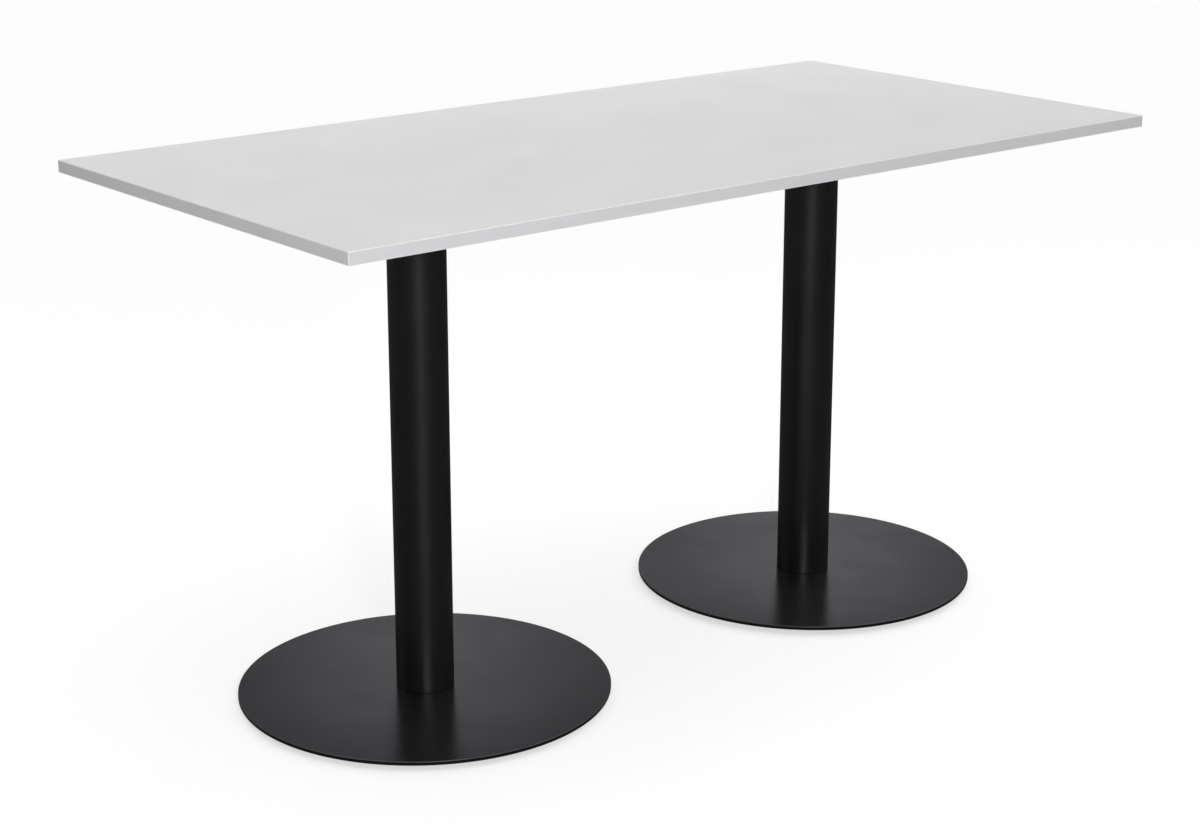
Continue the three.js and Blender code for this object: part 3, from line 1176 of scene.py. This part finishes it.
@dataclass
class Fasteners:
    """The bolts under the disc and the screws under the top.

    Attributes:
        bolt_shank: Radius of a bolt's shank.
        bolt_land: Upright rim of a bolt's head.
        bolt_lip: Rounding of that rim's lower edge.
        bolt_end: Rounding of the shank's end.
        bolt_hub: Radius of the last ring on that end, as a share of the shank's.
        bolt_socket: Half the corners' distance of a bolt's hexagon socket.
        bolt_socket_depth: Depth of that socket.
        socket_land: Radius of the first ring round the socket, as a share of the socket's.
        bolt_steps: Steps in a bolt's rounded edges.
        screw_shank: Radius of a screw's shank.
        screw_head: Height of a screw's head.
        screw_point: Length of a screw's point.
        point_share: Radius of the point's end, as a share of the shank's.
        screw_recess: Outer radius of a screw's six-lobe recess.
        recess_share: Depth of that recess, as a share of the head's height.
        recess_land: Radius where the dome starts, as a share of the recess's.
        dome_points: Points along the dome.
        segments: Points round each ring.
    """

    bolt_shank: float = 5.0 * MILLIMETRE
    bolt_land: float = 0.5 * MILLIMETRE
    bolt_lip: float = 0.1 * MILLIMETRE
    bolt_end: float = 0.6 * MILLIMETRE
    bolt_hub: float = 0.5
    bolt_socket: float = 3.5 * MILLIMETRE
    bolt_socket_depth: float = 3.2 * MILLIMETRE
    socket_land: float = 1.3
    bolt_steps: int = 3
    screw_shank: float = 2.5 * MILLIMETRE
    screw_head: float = 3.2 * MILLIMETRE
    screw_point: float = 4.0 * MILLIMETRE
    point_share: float = 0.1
    screw_recess: float = 2.0 * MILLIMETRE
    recess_share: float = 0.6
    recess_land: float = 1.25
    dome_points: int = 9
    segments: int = 48

    def recess(self, outline: Outline, radius: float, floor: float, mouth: float) -> Rings:
        """Gives the two rings of a drive recess: its floor and its mouth."""
        return Rings.turned(Profile.plain([(radius, floor), (radius, mouth)]), self.segments, outline)

    def bolt(self, node: str) -> bpy.types.Mesh:
        """Stacks the socket, the countersunk head and the shank, from the underside up.

        Args:
            node: The bolt's node, which gives its box.

        Returns:
            The bolt's mesh.
        """
        box = NodeBox.of(node)
        land = box.bottom + self.bolt_land
        depth = box.bottom + self.bolt_socket_depth
        socket = self.recess(Outline.HEXAGON, self.bolt_socket, depth, box.bottom)
        corners = [
            (self.socket_land * self.bolt_socket, box.bottom),
            (box.radius, box.bottom),
            (box.radius, land),
            (self.bolt_shank, land + box.radius - self.bolt_shank),
            (self.bolt_shank, box.top),
            (self.bolt_hub * self.bolt_shank, box.top),
        ]
        radii = [0.0, self.bolt_lip, 0.0, 0.0, self.bolt_end, 0.0]
        body = Rings.turned(Profile.rounded(corners, radii, self.bolt_steps), self.segments)
        rings = Rings.stacked(socket, body).moved(box.axis)
        return rings.mesh(f"{node}_countersunk", Closing.CAPS)

    def screw(self, node: str) -> bpy.types.Mesh:
        """Stacks the recess, the domed head and the pointed shank; the dome is a quarter of an ellipse.

        Args:
            node: The screw's node, which gives its box.

        Returns:
            The screw's mesh.
        """
        box = NodeBox.of(node)
        seat = box.bottom + self.screw_head
        start = math.asin(self.recess_land * self.screw_recess / box.radius)
        turn = np.linspace(start, QUARTER_TURN, self.dome_points)
        dome = np.stack([box.radius * np.sin(turn), seat - self.screw_head * np.cos(turn)], axis=1)
        shank = [
            (self.screw_shank, seat),
            (self.screw_shank, box.top - self.screw_point),
            (self.point_share * self.screw_shank, box.top),
        ]
        mouth = float(dome[0, 1])
        floor = mouth + self.recess_share * self.screw_head
        recess = self.recess(Outline.SIX_LOBE, self.screw_recess, floor, mouth)
        body = Rings.turned(Profile.plain(np.vstack([dome, shank])), self.segments)
        rings = Rings.stacked(recess, body).moved(box.axis)
        return rings.mesh(f"{node}_pan_head", Closing.CAPS)


@dataclass
class WeldBead:
    """The bead that joins a tube to the plate above it.

    Attributes:
        radius: Half the bead's width.
        flatness: Height of the bead's section, as a share of its width.
        stand_out: Way from the tube to the bead's middle, as a share of the radius.
        ripples: Ripples round the tube.
        swell: How far a ripple swells the bead, as a share of the radius.
        ripple_points: Points along each ripple.
        section_points: Points round the bead's section.
    """

    radius: float = 2.6 * MILLIMETRE
    flatness: float = 0.75
    stand_out: float = 0.25
    ripples: int = 84
    swell: float = 0.1
    ripple_points: int = 6
    section_points: int = 10

    def rings(self, tube: float, top: float) -> Rings:
        """Carries an ellipse round the tube; ripples swell it with the cosine of many turns.

        Args:
            tube: Outer radius of the tube.
            top: Height of the tube's end.

        Returns:
            One ring round the tube for each point of the section.
        """
        around = ring_angles(self.ripples * self.ripple_points)
        section = ring_angles(self.section_points)[:, None]
        swollen = self.radius * (1 + self.swell * np.cos(self.ripples * around))
        out = tube + self.stand_out * self.radius + swollen * np.cos(section)
        height = top + self.flatness * (swollen * np.sin(section) - self.radius)
        return Rings.unmarked(about_axis(out, around, height))


@dataclass
class Pedestal:
    """One pedestal: disc base, column with its two end plates, fasteners and glides.

    Attributes:
        side: left or right, the first word of its nodes' names.
        rim_arris: Radius of the disc's edges.
        rim_steps: Steps in those edges.
        disc_hub: Radius of the last ring on the disc's faces, as a share of the disc's.
        disc_skin: Metal left above a glide's blind bore.
        wall: Wall of the tube.
        tube_arris: Broken edges of the tube's ends.
        plate_arris: Radius of the head plate's edges.
        plate_corner: Corner radius of the head plate in plan.
        plate_inset: Way in to the last ring on the head plate's faces.
        edge_steps: Steps in the edges of the tube and the head plate.
        corner_steps: Steps in the head plate's corners.
        clearance: Gap round a bolt or stud in its hole.
        overrun: How far a cutter reaches past the face that it cuts.
        disc_segments: Points round the disc.
        column_segments: Points round the column.
        places: Numbers of the repeated pieces.
        bead: Sizes of the weld under the head plate.
        glide: Sizes of the glides.
        fasteners: Sizes of the fasteners.
    """

    side: str
    rim_arris: float = 1.2 * MILLIMETRE
    rim_steps: int = 8
    disc_hub: float = 0.5
    disc_skin: float = 1.7 * MILLIMETRE
    wall: float = 3.2 * MILLIMETRE
    tube_arris: float = 1.0 * MILLIMETRE
    plate_arris: float = 0.8 * MILLIMETRE
    plate_corner: float = 30.0 * MILLIMETRE
    plate_inset: float = 15.0 * MILLIMETRE
    edge_steps: int = 4
    corner_steps: int = 12
    clearance: float = 0.3 * MILLIMETRE
    overrun: float = 1.0 * MILLIMETRE
    disc_segments: int = 288
    column_segments: int = 192
    places: tuple[int, ...] = (1, 2, 3, 4)
    bead: WeldBead = field(default_factory=WeldBead)
    glide: Glide = field(default_factory=Glide)
    fasteners: Fasteners = field(default_factory=Fasteners)

    def node(self, name: str) -> str:
        """Gives the full name of one of this pedestal's nodes."""
        return f"{self.side}_{name}"

    def holes(self, name: str, line: list[Point]) -> list[bpy.types.Mesh]:
        """Turns a cutter's line about the axis of each fastener of a kind.

        Args:
            name: The kind's name, which a number follows.
            line: Radius and height of each point of the cutter.

        Returns:
            One cutter for each fastener.
        """
        rings = Rings.turned(Profile.plain(line), self.fasteners.segments)
        nodes = [self.node(f"{name}_{place}") for place in self.places]
        return [rings.moved(NodeBox.of(node).axis).mesh(f"{node}_hole", Closing.CAPS) for node in nodes]

    def disc(self) -> bpy.types.Mesh:
        """Turns the disc with its rounded rim, then cuts the countersunk holes and the blind bores.

        Returns:
            The disc's mesh.
        """
        box = NodeBox.of(self.node("base_disc"))
        rim = box.radius
        inner = self.disc_hub * rim
        corners = [(inner, box.bottom), (rim, box.bottom), (rim, box.top), (inner, box.top)]
        profile = Profile.rounded(corners, [0.0, self.rim_arris, self.rim_arris, 0.0], self.rim_steps)
        rings = Rings.turned(profile, self.disc_segments).moved(box.axis)
        plain = rings.mesh(self.node("base_disc_plate"), Closing.CAPS)
        under = box.bottom - self.overrun
        head = NodeBox.of(self.node("base_bolt_1")).radius + self.clearance
        shank = self.fasteners.bolt_shank + self.clearance
        land = box.bottom + self.fasteners.bolt_land
        seat = land + head - shank
        countersink = [(head, under), (head, land), (shank, seat), (shank, box.top + self.overrun)]
        bore = self.glide.stud_radius + self.clearance
        blind = [(bore, under), (bore, box.top - self.disc_skin)]
        return cut(plain, self.holes("base_bolt", countersink) + self.holes("glide_stud", blind))

    def tube(self) -> bpy.types.Mesh:
        """Turns the tube's wall, a closed profile with broken outer edges.

        Returns:
            The tube's mesh.
        """
        box = NodeBox.of(self.node("column"))
        outer = box.radius
        inner = outer - self.wall
        corners = [(inner, box.bottom), (outer, box.bottom), (outer, box.top), (inner, box.top)]
        radii = [0.0, self.tube_arris, self.tube_arris, 0.0]
        profile = Profile.rounded(corners, radii, self.edge_steps, loop=True)
        rings = Rings.turned(profile, self.column_segments).moved(box.axis)
        return rings.mesh(self.node("column_tube"), Closing.LOOP)

    def head_plate(self) -> bpy.types.Mesh:
        """Lofts the head plate's rounded square through a profile with rounded edges.

        Returns:
            The plate's mesh.
        """
        box = NodeBox.of(self.node("head_plate"))
        length, width, height = box.half
        inner = self.plate_inset
        corners = [(inner, -height), (0.0, -height), (0.0, height), (inner, height)]
        profile = Profile.rounded(corners, [0.0, self.plate_arris, self.plate_arris, 0.0], self.edge_steps)
        rings = Rings.plate((length, width), self.plate_corner, profile, self.corner_steps)
        return rings.moved(box.centre).mesh(self.node("head_plate_steel"), Closing.CAPS)

    def weld(self) -> bpy.types.Mesh:
        """Lays the weld bead round the top of the tube.

        Returns:
            The bead's mesh.
        """
        box = NodeBox.of(self.node("column"))
        rings = self.bead.rings(box.radius, box.top).moved(box.axis)
        return rings.mesh(self.node("column_weld"), Closing.LOOP)

    def build_glides(self, shop: Workshop) -> None:
        """Builds and dresses this pedestal's glides, each piece on its own body.

        Args:
            shop: Gives the pieces their finishes.
        """
        for place in self.places:
            pad = self.node(f"glide_pad_{place}")
            stud = self.node(f"glide_stud_{place}")
            nut = self.node(f"glide_nut_{place}")
            shop.dress(self.glide.pad(pad), NYLON, pad, pad)
            shop.dress(self.glide.stud(stud, NodeBox.of(pad).top), ZINC, stud, stud)
            shop.dress(self.glide.nut(nut), ZINC, ROOT_BODY, nut)

    def build(self, shop: Workshop) -> None:
        """Builds and dresses the pedestal.

        Args:
            shop: Gives the pieces their finishes.
        """
        shop.dress(self.disc(), BLACK_PLATE, ROOT_BODY, self.node("base_disc"))
        shop.dress(self.tube(), BLACK_TUBE, ROOT_BODY, self.node("column"))
        shop.dress(self.head_plate(), BLACK_PLATE, ROOT_BODY, self.node("head_plate"))
        shop.dress(self.weld(), BLACK_TUBE, ROOT_BODY)
        shop.keep(self.node("foot_plate"), BLACK_PLATE)
        for place in self.places:
            bolt = self.node(f"base_bolt_{place}")
            screw = self.node(f"top_screw_{place}")
            shop.dress(self.fasteners.bolt(bolt), ZINC, ROOT_BODY, bolt)
            shop.dress(self.fasteners.screw(screw), ZINC, ROOT_BODY, screw)
        self.build_glides(shop)


@dataclass(frozen=True)
class SoftBox:
    """A rectangular studio light.

    Attributes:
        name: Name of the light.
        place: Where it stands.
        target: Where it points.
        size: Width and height.
        power: Watts.
        reach: What it acts on.
        spread: Degrees that it shines into, as with a grid before it.
    """

    name: str
    place: Spot
    target: Spot
    size: Point
    power: float
    reach: Reach = Reach.ALL
    spread: float = 180.0

    def build(self) -> None:
        """Adds the light, hidden from the camera."""
        lamp = bpy.data.lights.new(self.name, "AREA")
        lamp.shape = "RECTANGLE"
        lamp.size, lamp.size_y = self.size
        lamp.energy = self.power
        lamp.spread = math.radians(self.spread)
        made = bpy.data.objects.new(self.name, lamp)
        aim = np.array(self.target) - np.array(self.place)
        heading = math.atan2(aim[1], aim[0]) - QUARTER_TURN
        tilt = math.atan2(aim[2], math.hypot(aim[0], aim[1])) + QUARTER_TURN
        made.rotation_euler = (tilt, 0.0, heading)
        made.location = self.place
        made.visible_camera = False
        made.visible_diffuse = self.reach is not Reach.MIRRORED
        made.visible_glossy = self.reach is not Reach.MATT
        bpy.context.scene.collection.objects.link(made)
        LOG.info("%s: %.3g W", self.name, self.power)


@dataclass(frozen=True)
class Ceiling:
    """Even light from a wide white ceiling.

    Attributes:
        name: Name of the light.
        strength: Watts to the square metre.
        spread: Degrees of sky that it fills.
        lean: Degrees that it leans from overhead.
        heading: Degrees from +Y, clockwise from above, that it leans towards.
    """

    name: str = "ceiling_light"
    strength: float = 2.4
    spread: float = 100.0
    lean: float = 12.0
    heading: float = 120.0

    def build(self) -> None:
        """Adds the light as a wide soft sun."""
        lamp = bpy.data.lights.new(self.name, "SUN")
        lamp.energy = self.strength
        lamp.angle = math.radians(self.spread)
        made = bpy.data.objects.new(self.name, lamp)
        made.rotation_euler = (-math.radians(self.lean), 0.0, -math.radians(self.heading))
        bpy.context.scene.collection.objects.link(made)
        LOG.info("%s: %.2f W/m2", self.name, self.strength)


STUDIO_LIGHTS = (
    SoftBox(
        name="front_strip",
        place=(-2.5, -3.85, 2.0),
        target=(0.0, 0.0, 0.8),
        size=(0.5, 1.0),
        power=62.0,
    ),
    SoftBox(
        name="floor_card",
        place=(-1.18, -1.29, 0.14),
        target=(-0.52, 0.0, 10.0),
        size=(0.5, 1.7),
        power=0.7,
        reach=Reach.MIRRORED,
    ),
    # Each back card stands beyond a disc on the camera's line of sight, where the disc mirrors it.
    SoftBox(
        name="left_back_card",
        place=(0.74, 1.81, 0.58),
        target=(-0.52, 0.0, -0.31),
        size=(1.1, 0.95),
        power=0.030,
        reach=Reach.MIRRORED,
        spread=9.5,
    ),
    SoftBox(
        name="right_back_card",
        place=(2.06, 1.57, 0.55),
        target=(0.52, 0.0, -0.31),
        size=(1.1, 0.95),
        power=0.030,
        reach=Reach.MIRRORED,
        spread=9.5,
    ),
    SoftBox(
        name="side_card",
        place=(-4.5, 4.5, 3.0),
        target=(0.0, 0.0, 0.0),
        size=(5.0, 3.0),
        power=24.0,
        reach=Reach.MIRRORED,
    ),
    SoftBox(
        name="back_fill",
        place=(0.5, 1.6, 1.75),
        target=(0.4, 0.3, 1.05),
        size=(3.2, 0.5),
        power=7.5,
        reach=Reach.MATT,
    ),
    SoftBox(
        name="left_fill",
        place=(-2.6, -0.6, 1.5),
        target=(-1.0, -0.2, 1.04),
        size=(0.6, 0.6),
        power=2.0,
        reach=Reach.MATT,
    ),
    SoftBox(
        name="right_fill",
        place=(2.4, 0.3, 1.7),
        target=(0.8, 0.0, 1.05),
        size=(0.8, 1.0),
        power=5.0,
        reach=Reach.MATT,
    ),
)


@dataclass
class Studio:
    """The white floor, the soft light and the camera.

    Attributes:
        camera_place: Where the camera stands.
        camera_heading: Degrees from +Y, clockwise from above.
        camera_dip: Degrees below level.
        camera_reach: How far the camera sees.
        sensor_width: Width of the camera's sensor in millimetres.
        focal_pixels: Focal length in pixels of the photograph.
        photo_width: Width of the photograph in pixels.
        window_drop: How far the picture lies below the lens axis, in picture widths.
        floor_colour: Colour of the floor that lights the table from below.
        floor_shade: Colour of the floor as the camera sees it, which sets how dark its shadows are.
        floor_glow: Light that the floor shows to the camera, so that it reads as a white sweep.
        floor_roughness: Roughness of the floor.
        floor_radius: Radius of the floor.
        floor_points: Points round the floor.
        sky_colour: Light of the room seen directly.
        room_far: Brightness of the room beyond the table.
        room_near: Brightness of the room on the camera's side.
        room_low: Brightness below level, which only polished pieces see.
        room_turn: Part of a direction along the camera's heading, from the near room to the far one.
        room_fade: Upward part of a direction, from the low brightness to the room's.
        ceiling: The light from above.
        lights: The soft boxes.
    """

    camera_place: Spot = (-3.0503, -3.6386, 1.9292)
    camera_heading: float = 39.316
    camera_dip: float = 15.579
    camera_reach: float = 500.0
    sensor_width: float = 36.0
    focal_pixels: float = 2392.3
    photo_width: float = 1200.0
    window_drop: float = 0.05
    floor_colour: Colour = (0.74, 0.74, 0.74)
    floor_shade: Colour = (0.45, 0.45, 0.45)
    floor_glow: float = 0.61
    floor_roughness: float = 0.9
    floor_radius: float = 60.0
    floor_points: int = 96
    sky_colour: Colour = (0.97, 0.97, 0.97)
    room_far: float = 0.07
    room_near: float = 0.10
    room_low: float = 0.10
    room_turn: Span = (-0.5, 0.7)
    room_fade: Span = (-0.12, 0.0)
    ceiling: Ceiling = Ceiling()
    lights: tuple[SoftBox, ...] = STUDIO_LIGHTS

    def build_camera(self) -> None:
        """Adds the camera at the photograph's viewing angle."""
        lens = bpy.data.cameras.new("photo_camera")
        lens.sensor_fit = "HORIZONTAL"
        lens.sensor_width = self.sensor_width
        lens.lens = self.focal_pixels / self.photo_width * self.sensor_width
        lens.shift_y = -self.window_drop
        lens.clip_end = self.camera_reach
        made = bpy.data.objects.new("photo_camera", lens)
        made.location = self.camera_place
        tilt = math.radians(90.0 - self.camera_dip)
        made.rotation_euler = (tilt, 0.0, -math.radians(self.camera_heading))
        bpy.context.scene.collection.objects.link(made)
        bpy.context.scene.camera = made

    def build_floor(self) -> None:
        """Adds the floor, a flat white disc that polished pieces don't mirror."""
        angles = ring_angles(self.floor_points)
        edge = about_axis(np.full_like(angles, self.floor_radius), angles, 0.0)
        mesh = bpy.data.meshes.new("studio_floor")
        mesh.from_pydata(edge, [], [list(range(self.floor_points))])
        made = add_object(mesh)
        made.visible_glossy = False
        paint = bpy.data.materials.new("studio_floor_paint")
        paint.use_nodes = True
        tree = NodeTree(paint.node_tree)
        seen = tree.add("ShaderNodeLightPath").outputs["Is Camera Ray"]
        shader = tree.add("ShaderNodeBsdfPrincipled")
        tree.feed(
            shader,
            Base_Color=tree.mix(seen, self.floor_colour, self.floor_shade),
            Roughness=self.floor_roughness,
            Specular_IOR_Level=0.0,
            Emission_Color=(1.0, 1.0, 1.0, 1.0),
            Emission_Strength=tree.math("MULTIPLY", seen, self.floor_glow),
        )
        tree.end("ShaderNodeOutputMaterial", shader)
        mesh.materials.append(paint)

    def build_room(self) -> None:
        """Builds the room: plain white where the camera sees it, and dim where it lights the table.

        The dim light runs from the near brightness to the far one with the direction's part along the
        camera's heading, and changes to the low brightness below level.
        """
        world = bpy.data.worlds.new("studio_room")
        bpy.context.scene.world = world
        world.use_nodes = True
        tree = NodeTree(world.node_tree)
        direction = tree.add("ShaderNodeTexCoord").outputs["Generated"]
        heading = math.radians(self.camera_heading)
        along = tree.add("ShaderNodeVectorMath", operation="DOT_PRODUCT")
        tree.give(along.inputs[0], direction)
        tree.give(along.inputs[1], (math.sin(heading), math.cos(heading), 0.0))
        split = tree.add("ShaderNodeSeparateXYZ")
        tree.feed(split, Vector=direction)
        upward = split.outputs["Z"]
        around = tree.remap(along.outputs["Value"], self.room_turn, (self.room_near, self.room_far))
        level = tree.math("MULTIPLY", around, tree.remap(upward, self.room_fade, WHOLE))
        low = tree.remap(upward, self.room_fade, (self.room_low, 0.0))
        lit = tree.add("ShaderNodeBackground")
        tree.feed(lit, Strength=tree.math("ADD", level, low))
        seen = tree.add("ShaderNodeBackground")
        tree.feed(seen, Color=(*self.sky_colour, 1.0))
        chosen = tree.add("ShaderNodeMixShader")
        tree.give(chosen.inputs[0], tree.add("ShaderNodeLightPath").outputs["Is Camera Ray"])
        tree.give(chosen.inputs[1], lit.outputs[0])
        tree.give(chosen.inputs[2], seen.outputs[0])
        tree.end("ShaderNodeOutputWorld", chosen)

    def build(self) -> None:
        """Builds the studio and sets plain colour handling."""
        bpy.context.scene.view_settings.view_transform = "Standard"
        self.build_camera()
        self.build_floor()
        self.build_room()
        for light in (self.ceiling, *self.lights):
            light.build()


def main() -> None:
    """Builds the table and its studio."""
    logging.basicConfig(level=logging.INFO, format="%(name)s: %(message)s")
    Studio().build()
    shop = Workshop()
    TableTop().build(shop)
    for side in SIDES:
        Pedestal(side).build(shop)


if __name__ == "__main__":
    main()
